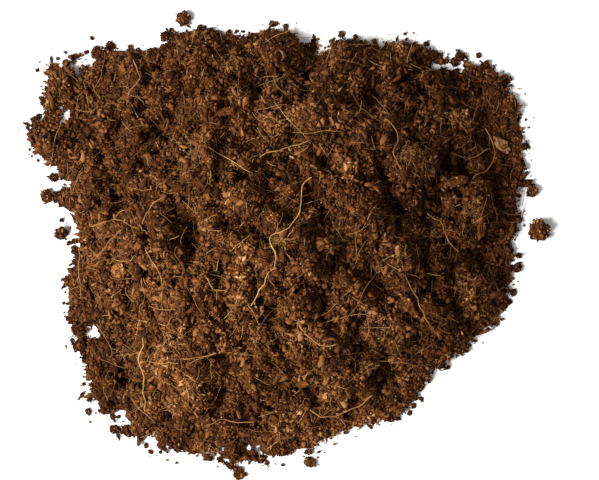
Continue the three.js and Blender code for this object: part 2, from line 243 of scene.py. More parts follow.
streaks, streaks_in, streaks_out = new_group("streaks", {"Scale": 1.0}, ["Streak"])
own = add_node(streaks, "ShaderNodeAttribute", attribute_name="along").outputs["Vector"]
drawn_out = add_node(streaks, "ShaderNodeMapping", {"Vector": own, "Scale": STREAK_SCALES})
bands = add_node(streaks, "ShaderNodeTexNoise", {
    "Vector": drawn_out.outputs["Vector"], "Scale": streaks_in.outputs["Scale"], "Detail": 3.0,
})
banded = add_node(streaks, "ShaderNodeMapRange", {
    "Value": bands.outputs["Fac"], "From Min": 0.35, "From Max": 0.65,
})
streaks.links.new(banded.outputs["Result"], streaks_out.inputs["Streak"])

mottle, mottle_in, mottle_out = new_group("mottle", {"Kinship": KINSHIP}, ["Tint"])
place = add_node(mottle, "ShaderNodeTexCoord").outputs["Object"]
shades = []
for scale in (KIN_SCALE, GRAIN_SCALE):
    cloud = add_node(mottle, "ShaderNodeTexNoise", {"Vector": place, "Scale": scale, "Detail": 2.0})
    shades.append(add_node(mottle, "ShaderNodeMapRange", {
        "Value": cloud.outputs["Fac"], "From Min": KIN_RANGE[0], "From Max": KIN_RANGE[1],
    }).outputs["Result"])
blend = add_node(mottle, "ShaderNodeMix", {
    "Factor": mottle_in.outputs["Kinship"], "A": shades[1], "B": shades[0],
})
mottle.links.new(shown(blend.outputs, "Result"), mottle_out.inputs["Tint"])
print("node groups:", paleness_and_painted_light.name, sponge.name, streaks.name, mottle.name)

# %% [markdown]
# ## Materials
# Each grain, chip and hair carries a number of its own, called tint, from 0 to 1. A colour ramp turns it
# into one of the browns of pith, from nearly black to tan, so neighbours differ; for pith the nearly black
# end is partly painted shade and the tan end partly painted glints. Caked pith has no single grains, so it
# takes its tint from the mottle group, and its browns are darkened as painted shade. Dry patches and
# painted light lift the colour, painted shade on the right flank lowers it, and the sponge group gives
# the bump. The Principled shader stays in each material, with its constant values set on its own sockets.

# %% Materials
# The gain by which dry patches, paler places and painted light brighten the browns; painted shade withholds
# it.
PALER_GAIN = (1.75, 1.9, 1.9, 1)
STREAK_SHADE = (0.42, 0.36, 0.3, 1)
RELIEF_DEPTH = 0.3 * MM
DAMP_SMOOTHER = 0.12
DRY_ROUGHER = 0.08


def husk_material(name, browns, roughness=0.9, bump=0.5, gloss=0.04, streaked=False, mottled=False):
    material = bpy.data.materials.new(name)
    material.use_nodes = True
    tree = material.node_tree
    shader = tree.nodes["Principled BSDF"]
    shader.inputs["Specular IOR Level"].default_value = gloss
    if mottled:
        tint = add_node(tree, "ShaderNodeGroup", node_tree=mottle).outputs["Tint"]
    else:
        tint = add_node(tree, "ShaderNodeAttribute", attribute_name="tint").outputs["Fac"]
    ramp = add_node(tree, "ShaderNodeValToRGB", {"Fac": tint})
    stops = ramp.color_ramp.elements
    for stop in browns[2:]:
        stops.new(stop[0])
    for stop, (where, colour) in zip(stops, browns):
        stop.position = where
        stop.color = (*colour, 1)
    paleness = add_node(tree, "ShaderNodeGroup", node_tree=paleness_and_painted_light)
    gained = add_node(tree, "ShaderNodeMix", {
        "Factor": paleness.outputs["Dryness"], "A": ramp.outputs["Color"], "B": PALER_GAIN,
    }, data_type="RGBA", blend_type="MULTIPLY")
    colour = shown(gained.outputs, "Result")
    pitted = add_node(tree, "ShaderNodeGroup", node_tree=sponge)
    height = pitted.outputs["Height"]
    if streaked:
        streak = add_node(tree, "ShaderNodeGroup", node_tree=streaks).outputs["Streak"]
        colour = shown(add_node(tree, "ShaderNodeMix", {
            "Factor": streak, "A": colour, "B": STREAK_SHADE,
        }, data_type="RGBA", blend_type="MULTIPLY").outputs, "Result")
        grooved = add_node(tree, "ShaderNodeMath", {0: height, 1: streak}, operation="SUBTRACT")
        height = grooved.outputs[0]
    tree.links.new(colour, shader.inputs["Base Color"])
    rough = add_node(tree, "ShaderNodeMapRange", {
        "Value": paleness.outputs["Dryness"],
        "To Min": roughness - DAMP_SMOOTHER, "To Max": min(1.0, roughness + DRY_ROUGHER),
    })
    tree.links.new(rough.outputs["Result"], shader.inputs["Roughness"])
    relief = add_node(tree, "ShaderNodeBump", {
        "Height": height, "Strength": bump, "Distance": RELIEF_DEPTH,
    })
    tree.links.new(relief.outputs["Normal"], shader.inputs["Normal"])
    return material


# The darkest stop is partly painted shade between grains, the palest partly painted glints on lit grains.
PITH_BROWNS_AND_PAINTED_LIGHT = [
    (0.0, (0.024, 0.0076, 0.0026)),
    (0.3, (0.056, 0.0182, 0.0053)),
    (0.6, (0.106, 0.0360, 0.0105)),
    (0.85, (0.195, 0.0790, 0.0250)),
    (1.0, (0.360, 0.1900, 0.0780)),
]
# Caked pith is darker than the grains: its browns are partly its own colour and partly painted shade
# between the grains.
CAKE_BROWNS_AND_PAINTED_SHADE = [
    (0.0, (0.016, 0.0050, 0.0016)),
    (1.0, (0.085, 0.0290, 0.0080)),
]
CHIP_BROWNS = [
    (0.0, (0.060, 0.0190, 0.0055)),
    (0.5, (0.150, 0.0520, 0.0140)),
    (0.85, (0.230, 0.0900, 0.0250)),
    (1.0, (0.430, 0.2300, 0.0900)),
]
FIBRE_BROWNS = [
    (0.0, (0.085, 0.0320, 0.0090)),
    (0.5, (0.230, 0.1060, 0.0290)),
    (1.0, (0.440, 0.2600, 0.0900)),
]
pith = husk_material("pith", PITH_BROWNS_AND_PAINTED_LIGHT)
chip_husk = husk_material("husk chip", CHIP_BROWNS, roughness=0.85, bump=0.6, streaked=True)
coir = husk_material("coir fibre", FIBRE_BROWNS, roughness=0.6, bump=0.15, gloss=0.12)
caked_with_painted_shade = husk_material("caked pith", CAKE_BROWNS_AND_PAINTED_SHADE, bump=0.9, mottled=True)
print("materials:", [material.name for material in (pith, chip_husk, coir, caked_with_painted_shade)])

# %% [markdown]
# ## Copies of the solids
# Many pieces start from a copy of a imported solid, whose loose triangles are merged first. A modifier is
# applied at once, so that the piece ends as a plain mesh. The first copy is the heap's foot line, a
# helper that is not shown: the heap cut across just over the table, which leaves its outline.

# %% Copies of the solids
FOOT_CUT = 0.5 * MM
MERGE_WITHIN = 0.001 * MM


def merged_copy(name, nodes):
    bpy.ops.object.select_all(action="DESELECT")
    copies = []
    for node in nodes:
        copy = bpy.data.objects.new(name, frame["nodes"][node].data.copy())
        scene.collection.objects.link(copy)
        copy.select_set(True)
        copies.append(copy)
    bpy.context.view_layer.objects.active = copies[0]
    if len(copies) > 1:
        bpy.ops.object.join()
    piece = bpy.context.object
    piece.name = name
    bpy.ops.object.mode_set(mode="EDIT")
    bpy.ops.mesh.select_all(action="SELECT")
    bpy.ops.mesh.remove_doubles(threshold=MERGE_WITHIN)
    bpy.ops.object.mode_set(mode="OBJECT")
    piece.data.materials.clear()
    return piece


def apply_modifier(piece, kind, **options):
    choose(piece)
    modifier = piece.modifiers.new(kind.lower(), kind)
    for option, value in options.items():
        setattr(modifier, option, value)
    bpy.ops.object.modifier_apply(modifier=modifier.name)


def triangles(piece):
    piece.data.calc_loop_triangles()
    return len(piece.data.loop_triangles)


foot_line = merged_copy("foot_line", ["pith_heap"])
bpy.ops.object.mode_set(mode="EDIT")
bpy.ops.mesh.select_all(action="SELECT")
bpy.ops.mesh.bisect(plane_co=(0, 0, FOOT_CUT), plane_no=(0, 0, 1), clear_inner=True, clear_outer=True)
bpy.ops.object.mode_set(mode="OBJECT")
foot_points = KDTree(len(foot_line.data.vertices))
for corner in foot_line.data.vertices:
    foot_points.insert((corner.co.x, corner.co.y, 0), corner.index)
foot_points.balance()
print("outline of", len(foot_line.data.vertices), "points")

# %% [markdown]
# ## The heap under its grains
# What shows between the grains is caked pith. A voxel remesh gives the copy of the heap even faces. Pith
# cakes into clumps, so Displace modifiers, with cell textures of three sizes, press cracks straight down
# into it between the cells, everywhere but at its base, and a fine cloud texture felts its surface. The
# base is sunk first, and all is cut off level with the table at the end. At the rim, most of all on the
# left, where the heap is thinner, small cracks may go right through, so that the white table shows
# between the clumps. Further in, a thin floor of pith covers the table.

# %% The heap under its grains
SKIN_VOXEL = 0.75 * MM
BIG_CLUMPS = [(20.0 * MM, 8.0 * MM), (10.0 * MM, 9.0 * MM)]
SMALL_CLUMPS = [(4.6 * MM, 10.0 * MM)]
CLUMP_TOPS = 0.13
BASE = 0.2 * MM
BASE_SINK = 6.0 * MM
RIM_WIDTH = 9.0 * MM
RIM_CRACKS = 0.5
LACE_WIDTH = 4.5 * MM
THINNER_LEFT = 0.6
PITH_FLOOR = 0.6 * MM
FELT_SIZE = 1.3 * MM
FELT_DEPTH = 0.7 * MM


def press_cracks(piece, width, depth, where):
    cells = bpy.data.textures.new("cells", "VORONOI")
    cells.distance_metric = "DISTANCE_SQUARED"
    cells.noise_scale = width
    apply_modifier(piece, "DISPLACE", texture=cells, texture_coords="LOCAL", direction="Z",
                   strength=-depth, mid_level=CLUMP_TOPS, vertex_group=where)


def crumble(piece, big_clumps, small_clumps):
    loose = piece.vertex_groups.new(name="above the table")
    inner = piece.vertex_groups.new(name="inside the rim")
    covered = []
    for corner in piece.data.vertices:
        if corner.co.z <= BASE:
            corner.co.z -= BASE_SINK
            continue
        away = foot_points.find((corner.co.x, corner.co.y, 0))[2]
        inside = min(1.0, away / RIM_WIDTH)
        thinness = 1 - THINNER_LEFT * corner.co.x / cad_high.x
        at_rim = RIM_CRACKS * thinness
        loose.add([corner.index], at_rim + (1 - at_rim) * inside, "REPLACE")
        inner.add([corner.index], inside, "REPLACE")
        if away > LACE_WIDTH * thinness:
            covered.append(corner.index)
    for width, depth in big_clumps:
        press_cracks(piece, width, depth, "inside the rim")
    for width, depth in small_clumps:
        press_cracks(piece, width, depth, "above the table")
    felt = bpy.data.textures.new("felt", "CLOUDS")
    felt.noise_scale = FELT_SIZE
    apply_modifier(piece, "DISPLACE", texture=felt, texture_coords="LOCAL", strength=FELT_DEPTH,
                   mid_level=0.5, vertex_group="above the table")
    for index in covered:
        corner = piece.data.vertices[index]
        corner.co.z = max(corner.co.z, PITH_FLOOR)
    bpy.ops.object.mode_set(mode="EDIT")
    bpy.ops.mesh.select_all(action="SELECT")
    bpy.ops.mesh.bisect(plane_co=(0, 0, 0), plane_no=(0, 0, 1), use_fill=True, clear_inner=True,
                        threshold=MERGE_WITHIN)
    bpy.ops.object.mode_set(mode="OBJECT")


skin = merged_copy("pith_underlayer", ["pith_heap"])
apply_modifier(skin, "REMESH", mode="VOXEL", voxel_size=SKIN_VOXEL)
crumble(skin, BIG_CLUMPS, SMALL_CLUMPS)
# The darkened caked browns are painted shade between the grains.
skin.data.materials.append(caked_with_painted_shade)
print(skin.name, triangles(skin), "triangles")

# %% [markdown]
# ## Grain shapes
# A grain of pith is an angular crumb. Each shape starts as a small ball of few faces whose corners are
# pushed about at random and which is then squashed, and a dozen such shapes are enough: turned and
# sized at random, they don't look alike. The smallest, the specks, start as a cone with a
# point pulled out of its base too, which takes only eight or ten faces. A chip starts as a slab. Each
# chip remembers its own corners' places in an attribute, so that its streaks run along it whichever way
# it comes to lie.

# %% Grain shapes
SPECK_RADIUS = 0.6 * MM
SPECK_HEIGHT = 0.6 * MM
SPECK_UNDERSIDE = 0.5 * MM
SPECK_ROUGHNESS = 0.2 * MM
GRAIN_RADIUS = 0.5 * MM
GRAIN_ROUGHNESS = 0.34 * MM
SQUASHES = [(1.0, 0.85, 0.7), (1.25, 0.8, 0.65), (1.7, 0.6, 0.5), (1.0, 0.95, 0.85)]
SHREDS = [(1.35, 0.85, 0.7), (1.75, 0.8, 0.65), (1.15, 0.95, 0.8), (2.1, 0.7, 0.6)]
CHIP_ROUGHNESS = 0.3
CHIP_SQUASH = (1, 1, 0.8)
CHIP_SIZES = [(3.6, 1.5, 0.6), (5.0, 1.3, 0.6), (2.8, 1.8, 0.7), (4.2, 1.0, 0.5), (6.0, 1.7, 0.7)]


def shape_collection(name, shapes):
    collection = bpy.data.collections.new(name)
    for shape in shapes:
        for home in list(shape.users_collection):
            home.objects.unlink(shape)
        collection.objects.link(shape)
    return collection


def roughen(offset, squash, seed):
    bpy.ops.object.mode_set(mode="EDIT")
    bpy.ops.mesh.select_all(action="SELECT")
    bpy.ops.transform.vertex_random(offset=offset, uniform=0.7, normal=0.3, seed=seed)
    bpy.ops.transform.resize(value=squash)
    bpy.ops.object.mode_set(mode="OBJECT")


def speck_shape(seed):
    bpy.ops.object.select_all(action="DESELECT")
    bpy.ops.mesh.primitive_cone_add(
        vertices=4 + seed % 2, radius1=SPECK_RADIUS, depth=SPECK_HEIGHT, end_fill_type="TRIFAN",
        location=(0, 0, SPECK_HEIGHT / 2),
    )
    bpy.ops.object.transform_apply()
    speck = bpy.context.object
    under = min(speck.data.vertices, key=lambda corner: corner.co.z + corner.co.xy.length)
    under.co.z = -SPECK_UNDERSIDE
    roughen(SPECK_ROUGHNESS, SQUASHES[seed // 2 % 4], seed)
    bpy.ops.object.shade_smooth()
    return speck


def grain_shape(seed, detail, roughness, squashes):
    bpy.ops.object.select_all(action="DESELECT")
    bpy.ops.mesh.primitive_ico_sphere_add(subdivisions=detail, radius=GRAIN_RADIUS)
    roughen(roughness, squashes[seed % 4], seed)
    bpy.ops.object.shade_smooth()
    return bpy.context.object


def remember_places(piece, turn=0.0):
    along = piece.data.attributes.new("along", "FLOAT_VECTOR", "POINT")
    level = Matrix.Rotation(-turn, 3, "Z")
    for vertex, place in zip(piece.data.vertices, along.data):
        place.vector = level @ vertex.co


def chip_shape(seed, length, width, thickness):
    bpy.ops.object.select_all(action="DESELECT")
    bpy.ops.mesh.primitive_cube_add(size=1 * MM)
    bpy.ops.object.mode_set(mode="EDIT")
    bpy.ops.mesh.select_all(action="SELECT")
    bpy.ops.transform.resize(value=(length, width, thickness))
    bpy.ops.mesh.subdivide(number_cuts=1)
    bpy.ops.object.mode_set(mode="OBJECT")
    roughen(CHIP_ROUGHNESS * width * MM, CHIP_SQUASH, seed)
    remember_places(bpy.context.object)
    return bpy.context.object


speck_shapes = shape_collection("specks", [speck_shape(seed) for seed in range(12)])
grain_shapes = shape_collection("grains", [
    grain_shape(seed, 1, GRAIN_ROUGHNESS, SHREDS) for seed in range(20, 32)
])
chip_shapes = shape_collection("chips", [
    chip_shape(60 + number, *size) for number, size in enumerate(CHIP_SIZES)
])

# %% [markdown]
# ## Parts of the scattering rule
# Grains could be placed one by one in a loop, but Geometry Nodes spreads ten thousand at once. The rule
# is put together from a few parts: a random draw, patches where grains lie denser, nearness to a line,
# and a tint that neighbours partly share. Nothing may sink into the table, so what would is flattened
# against it.

# %% Parts of the scattering rule
NEARNESS_FALL = 1.6
PATCH_RANGE = (0.35, 0.6)


def random_between(tree, low, high, seed):
    kind = "FLOAT_VECTOR" if isinstance(low, tuple) else "FLOAT"
    node = add_node(tree, "FunctionNodeRandomValue", data_type=kind)
    shown(node.inputs, "Min").default_value = low
    shown(node.inputs, "Max").default_value = high
    node.inputs["Seed"].default_value = seed
    return shown(node.outputs, "Value")


def math_node(tree, operation, first, second):
    return add_node(tree, "ShaderNodeMath", {0: first, 1: second}, operation=operation).outputs[0]


def patchiness(tree, scale, fewest):
    where = add_node(tree, "GeometryNodeInputPosition").outputs["Position"]
    cloud = add_node(tree, "ShaderNodeTexNoise", {"Vector": where, "Scale": scale, "Detail": 2.0})
    return add_node(tree, "ShaderNodeMapRange", {
        "Value": cloud.outputs["Fac"], "From Min": PATCH_RANGE[0], "From Max": PATCH_RANGE[1],
        "To Min": fewest,
    }).outputs["Result"]


def nearness(tree, line, reach):
    target = add_node(tree, "GeometryNodeObjectInfo", {"Object": line}).outputs["Geometry"]
    away = add_node(tree, "GeometryNodeProximity", {0: target}, target_element="EDGES").outputs["Distance"]
    share = add_node(tree, "ShaderNodeMapRange", {
        "Value": away, "From Max": reach, "To Min": 1.0, "To Max": 0.0,
    })
    return math_node(tree, "POWER", share.outputs["Result"], NEARNESS_FALL)


def on_the_table(tree, geometry):
    where = add_node(tree, "GeometryNodeInputPosition").outputs["Position"]
    apart = add_node(tree, "ShaderNodeSeparateXYZ", {"Vector": where})
    kept = add_node(tree, "ShaderNodeCombineXYZ", {
        "X": apart.outputs["X"], "Y": apart.outputs["Y"],
        "Z": math_node(tree, "MAXIMUM", apart.outputs["Z"], 0.0),
    }).outputs["Vector"]
    return add_node(tree, "GeometryNodeSetPosition", {"Geometry": geometry, "Position": kept}).outputs[0]


def own_tint(tree, kinship, seed):
    where = add_node(tree, "GeometryNodeInputPosition").outputs["Position"]
    cloud = add_node(tree, "ShaderNodeTexNoise", {"Vector": where, "Scale": KIN_SCALE, "Detail": 2.0})
    shared = add_node(tree, "ShaderNodeMapRange", {
        "Value": cloud.outputs["Fac"], "From Min": KIN_RANGE[0], "From Max": KIN_RANGE[1],
    })
    blend = add_node(tree, "ShaderNodeMix", {
        "Factor": kinship, "A": random_between(tree, 0.0, 1.0, seed), "B": shared.outputs["Result"],
    })
    return shown(blend.outputs, "Result")


print("parts of the rule ready")

# %% [markdown]
# ## The scattering rule
# Points fall on the carrier at random, denser in some patches and fewer on steep walls, where grains
# don't stay. Each gets a shape, a turn, a size and a tint of its own, small sizes oftener than large, and
# Realize makes them real mesh. Applied, the modifier leaves plain triangles.

# %% The scattering rule
STEEP_SHARE = 0.25
OPEN_FROM = 0.6
LOWEST_FACING = -0.2
SMALL_OFTENER = 2.2


def scatter_tree(name, shapes, density, size, seed, lift, fewest, lean=math.pi, patch=60.0, near=None,
                 kinship=0.0):
    tree = bpy.data.node_groups.new(name, "GeometryNodeTree")
    tree.interface.new_socket("Geometry", in_out="INPUT", socket_type="NodeSocketGeometry")
    tree.interface.new_socket("Geometry", in_out="OUTPUT", socket_type="NodeSocketGeometry")
    carrier = tree.nodes.new("NodeGroupInput").outputs[0]
    result = tree.nodes.new("NodeGroupOutput").inputs[0]

    facing = add_node(tree, "GeometryNodeInputNormal").outputs["Normal"]
    upward = add_node(tree, "ShaderNodeSeparateXYZ", {"Vector": facing}).outputs["Z"]
    open_sky = add_node(tree, "ShaderNodeMapRange", {
        "Value": upward, "From Max": OPEN_FROM, "To Min": STEEP_SHARE,
    })
    crowding = math_node(tree, "MULTIPLY", patchiness(tree, patch, fewest), density)
    crowding = math_node(tree, "MULTIPLY", crowding, open_sky.outputs["Result"])
    if near:
        crowding = math_node(tree, "MULTIPLY", crowding, nearness(tree, *near))
    points = add_node(tree, "GeometryNodeDistributePointsOnFaces", {
        "Mesh": carrier, "Selection": math_node(tree, "GREATER_THAN", upward, LOWEST_FACING),
        "Density": crowding, "Seed": seed,
    }, distribute_method="RANDOM")

    lifted = add_node(tree, "ShaderNodeVectorMath", {
        "Vector": points.outputs["Normal"], "Scale": random_between(tree, *lift, seed + 1),
    }, operation="SCALE")
    placed = add_node(tree, "GeometryNodeSetPosition", {
        "Geometry": points.outputs["Points"], "Offset": lifted.outputs["Vector"],
    })
    turn = random_between(tree, (-lean, -lean, 0.0), (lean, lean, math.tau), seed + 2)
    turned = add_node(tree, "FunctionNodeRotateRotation", {
        "Rotation": points.outputs["Rotation"], "Rotate By": turn,
    }, rotation_space="LOCAL")
    draw = math_node(tree, "POWER", random_between(tree, 0.0, 1.0, seed + 3), SMALL_OFTENER)
    scale = add_node(tree, "ShaderNodeMapRange", {"Value": draw, "To Min": size[0], "To Max": size[1]})
    picks = add_node(tree, "GeometryNodeCollectionInfo", {
        "Collection": shapes, "Separate Children": True, "Reset Children": True,
    })
    copies = add_node(tree, "GeometryNodeInstanceOnPoints", {
        "Points": placed.outputs["Geometry"], "Instance": picks.outputs[0], "Pick Instance": True,
        "Rotation": turned.outputs[0], "Scale": scale.outputs["Result"],
    })
    tinted = add_node(tree, "GeometryNodeStoreNamedAttribute", {
        "Geometry": copies.outputs["Instances"], "Name": "tint",
        "Value": own_tint(tree, kinship, seed + 4),
    }, data_type="FLOAT", domain="INSTANCE")
    real = add_node(tree, "GeometryNodeRealizeInstances", {"Geometry": tinted.outputs["Geometry"]})
    tree.links.new(on_the_table(tree, real.outputs["Geometry"]), result)
    return tree


def scattered(name, carrier, material, **rule):
    piece = bpy.data.objects.new(name, carrier.data.copy())
    scene.collection.objects.link(piece)
    apply_modifier(piece, "NODES", node_group=scatter_tree(name, **rule))
    piece.data.materials.clear()
    piece.data.materials.append(material)
    print(name, triangles(piece), "triangles")
    return piece


print("rule ready")

# %% [markdown]
# ## Clumps
# A clump is many specks caked together. A few are modelled, each as a knobbly ball with specks scattered
# on it, and copies of them lie about on the heap and round its foot.

# %% Clumps
CORE_ROUGHNESS = 0.2 * MM
CORE_GROWTH = (3.0, 3.0, 2.2)
CORE_RISE = 0.7 * MM


def clump_shape(seed):
    core = grain_shape(seed, 2, CORE_ROUGHNESS, SQUASHES)
    bpy.ops.object.mode_set(mode="EDIT")
    bpy.ops.transform.resize(value=CORE_GROWTH)
    bpy.ops.transform.translate(value=(0, 0, CORE_RISE))
    bpy.ops.object.mode_set(mode="OBJECT")
    cover = scattered(
        f"clump_{seed}", core, pith, shapes=speck_shapes, density=1.9e6, fewest=0.8,
        size=(0.5, 1.2), seed=seed, lift=(-0.2 * MM, 0.5 * MM),
    )
    core.select_set(True)
    bpy.ops.object.join()
    return cover


clump_shapes = shape_collection("clumps", [clump_shape(seed) for seed in range(500, 505)])

# %% [markdown]
# ## Specks, grains, crumbs and chips
# Fine specks cover most of the heap, and the caked pith shows darker between them: it lies in their shade,
# and its browns are darkened as painted shade too. Larger grains and knobbly crumbs lie among them, and
# chips of husk lie flatter, because a flat thing settles on its side.

# %% Specks, grains, crumbs and chips
specks = []
for number in range(3):
    specks.append(scattered(
        f"pith_specks_{number + 1}", skin, pith, shapes=speck_shapes, density=5.8e5, fewest=0.5,
        size=(0.5, 1.5), seed=100 + 10 * number, lift=(0.0 * MM, 0.6 * MM), kinship=KINSHIP,
    ))
grains = scattered(
    "pith_grains", skin, pith, shapes=grain_shapes, density=3.4e5, fewest=0.3, patch=45.0,
    size=(0.85, 2.15), seed=200, lift=(0.2 * MM, 1.0 * MM), kinship=KINSHIP,
)
crumbs = scattered(
    "pith_crumbs", skin, pith, shapes=clump_shapes, density=1.5e4, fewest=0.2,
    size=(0.6, 1.5), seed=220, lift=(0.0 * MM, 0.5 * MM), kinship=KINSHIP,
)
chips = scattered(
    "husk_chips", skin, chip_husk, shapes=chip_shapes, density=1.6e4, fewest=0.15,
    size=(0.4, 0.95), seed=300, lift=(0.3 * MM, 1.1 * MM), lean=0.8,
)

# %% [markdown]
# ## Stray clods
# Small clods have rolled clear of the foot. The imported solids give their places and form. They are
# cracked as the heap is, only finer, and the same scattering covers them with specks.

# %% Stray clods
STRAY_VOXEL = 0.35 * MM
STRAY_CLUMPS = [(3.6 * MM, 4.0 * MM)]

stray_nodes = sorted(name for name in frame["nodes"] if name.startswith("stray_clod"))
stray_cores = merged_copy("stray_clod_cores", stray_nodes)
apply_modifier(stray_cores, "REMESH", mode="VOXEL", voxel_size=STRAY_VOXEL)
crumble(stray_cores, [], STRAY_CLUMPS)
# The darkened caked browns are painted shade between the specks.
stray_cores.data.materials.append(caked_with_painted_shade)
stray_specks = scattered(
    "stray_clod_specks", stray_cores, pith, shapes=speck_shapes, density=3.4e6, fewest=0.6, patch=200.0,
    size=(0.5, 1.3), seed=400, lift=(-0.5 * MM, 0.5 * MM),
)

# %% [markdown]
# ## Crumbs round the foot
# A heap has no clean edge: clumps and single specks lie round its foot, fewer the further out. They fall
# on a fine grid on the table wherever the heap's outline is near.

# %% Crumbs round the foot
GRID_STEPS = 90
GRID_WIDTH = 200 * MM

bpy.ops.object.select_all(action="DESELECT")
bpy.ops.mesh.primitive_grid_add(x_subdivisions=GRID_STEPS, y_subdivisions=GRID_STEPS, size=GRID_WIDTH)
table_patch = bpy.context.object
foot_clumps = scattered(
    "foot_clumps", table_patch, pith, shapes=clump_shapes, density=4.0e5, fewest=0.45, patch=110.0,
    size=(0.3, 1.05), seed=520, lift=(-0.2 * MM, 0.3 * MM), lean=0.25, near=(foot_line, 2.6 * MM),
)
foot_specks = scattered(
    "foot_specks", table_patch, pith, shapes=speck_shapes, density=8.0e5, fewest=0.1, patch=120.0,
    size=(0.25, 1.1), seed=540, lift=(0.0 * MM, 0.5 * MM), near=(foot_line, 4.5 * MM),
)

# %% [markdown]
# ## Coir fibres
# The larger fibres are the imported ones, made thinner and rounder: a copy is shrunk along its normals,
# lifted onto the specks and subdivided, and two Displace modifiers then kink it and make its thickness
# uneven. Each fibre is one colour, so it gets one tint.

# %% Coir fibres
FIBRE_THINNING = 0.26 * MM
FIBRE_LIFT = 0.9 * MM
KINK_LENGTH = 7.0 * MM
KINK_DEPTH = 2.6 * MM
KNOT_LENGTH = 1.2 * MM
KNOT_DEPTH = 0.2 * MM
PALEST_FIBRE = 0.7
FIBRE_TINT_RANGE = 0.5
GOLDEN = 0.618


def give_tint(piece, value):
    tint = piece.data.attributes.new("tint", "FLOAT", "POINT")
    tint.data.foreach_set("value", [value] * len(piece.data.vertices))


kinks = bpy.data.textures.new("kinks", "CLOUDS")
kinks.cloud_type = "COLOR"
kinks.noise_scale = KINK_LENGTH
knots = bpy.data.textures.new("knots", "CLOUDS")
knots.noise_scale = KNOT_LENGTH
fibre_nodes = sorted(name for name in frame["nodes"] if name.startswith("coir_fibre"))
fibres = []
for number, node in enumerate(fibre_nodes):
    fibre = merged_copy(node.replace("coir_fibre", "fibre"), [node])
    bpy.ops.object.mode_set(mode="EDIT")
    bpy.ops.mesh.select_all(action="SELECT")
    bpy.ops.transform.shrink_fatten(value=-FIBRE_THINNING)
    bpy.ops.transform.translate(value=(0, 0, FIBRE_LIFT))
    bpy.ops.object.mode_set(mode="OBJECT")
    apply_modifier(fibre, "SUBSURF", levels=1, render_levels=1)
    apply_modifier(fibre, "DISPLACE", texture=kinks, texture_coords="LOCAL", direction="RGB_TO_XYZ",
                   strength=KINK_DEPTH, mid_level=0.5)
    apply_modifier(fibre, "DISPLACE", texture=knots, texture_coords="LOCAL",
                   strength=KNOT_DEPTH, mid_level=0.5)
    bpy.ops.object.shade_smooth()
    give_tint(fibre, PALEST_FIBRE - FIBRE_TINT_RANGE * ((number * GOLDEN) % 1))
    fibre.data.materials.append(coir)
    fibres.append(fibre)
print(len(fibres), "fibres of", triangles(fibres[0]), "triangles")

# %% [markdown]
# ## Fine hairs
# Between the large fibres lie more than a thousand hairs, no thicker than a thread. A hair is modelled as
# a bevelled line that wanders a little, in a few shapes, and made a mesh. The same scattering lays them
# on the heap, nearly flat, so that they dip in and out of the grains. Short bristles, broken off when the
# husk was ground, stick out between the grains at a slant.

# %% Fine hairs
HAIR_STEPS = 8
HAIR_RADIUS = 0.07 * MM
BRISTLE_STEPS = 4
BRISTLE_RADIUS = 0.06 * MM
HAIR_CURL = 0.25
HAIR_BEND = 0.16
HAIR_RISE = 0.25


def hair_shape(seed, length, steps, radius, curl=HAIR_CURL):
    draw = random.Random(seed)
    curve = bpy.data.curves.new(f"hair_{seed}", "CURVE")
    curve.dimensions = "3D"
    curve.bevel_depth = radius
    curve.bevel_resolution = 0
    curve.use_fill_caps = True
    line = curve.splines.new("POLY")
    line.points.add(steps - 1)
    heading = 0.0
    bend = draw.uniform(-HAIR_BEND, HAIR_BEND)
    place = Vector((-length / 2, 0, 0))
    for step, point in enumerate(line.points):
        point.co = (*place, 1)
        point.radius = 0.55 + 0.45 * math.sin(math.pi * (step + 0.5) / steps)
        heading += bend + draw.uniform(-curl, curl)
        rise = draw.uniform(-HAIR_RISE, HAIR_RISE)
        place = place + Vector((math.cos(heading), math.sin(heading), rise)) * length / (steps - 1)
    hair = bpy.data.objects.new(f"hair_{seed}", curve)
    scene.collection.objects.link(hair)
    choose(hair)
    bpy.ops.object.convert(target="MESH")
    return bpy.context.object


hair_shapes = shape_collection("hairs", [
    hair_shape(600 + number, (5 + 1.4 * number) * MM, HAIR_STEPS, HAIR_RADIUS) for number in range(9)
])
hairs = scattered(
    "coir_hairs", skin, coir, shapes=hair_shapes, density=7.0e4, fewest=0.2, patch=40.0,
    size=(0.6, 1.2), seed=620, lift=(0.3 * MM, 1.5 * MM), lean=0.3,
)
bristle_shapes = shape_collection("bristles", [
    hair_shape(640 + number, (1.6 + 0.4 * number) * MM, BRISTLE_STEPS, BRISTLE_RADIUS)
    for number in range(6)
])
bristles = scattered(
    "coir_bristles", skin, coir, shapes=bristle_shapes, density=1.1e5, fewest=0.2, patch=70.0,
    size=(0.6, 1.5), seed=660, lift=(0.3 * MM, 1.0 * MM), lean=0.9,
)

# %% [markdown]
# ## Tufts
# In a few places curled hairs are left tangled in a tuft. The scattering knows how near a line is, so
# an upright line is set up at each place, as a thin open tube, and the hairs fall on the heap round it.

# %% Tufts
TUFT_STEPS = 7
TUFT_RADIUS = 0.055 * MM
TUFT_CURL = 0.7
TUFT_PLACES = [(-1.0, 1.5), (36.9, 23.5), (-33.8, -30.0), (-28.0, 23.5), (-47.0, -34.4)]
TUFT_REACH = 7.0 * MM
LINE_RADIUS = 0.3 * MM
LINE_HEIGHT = 100 * MM

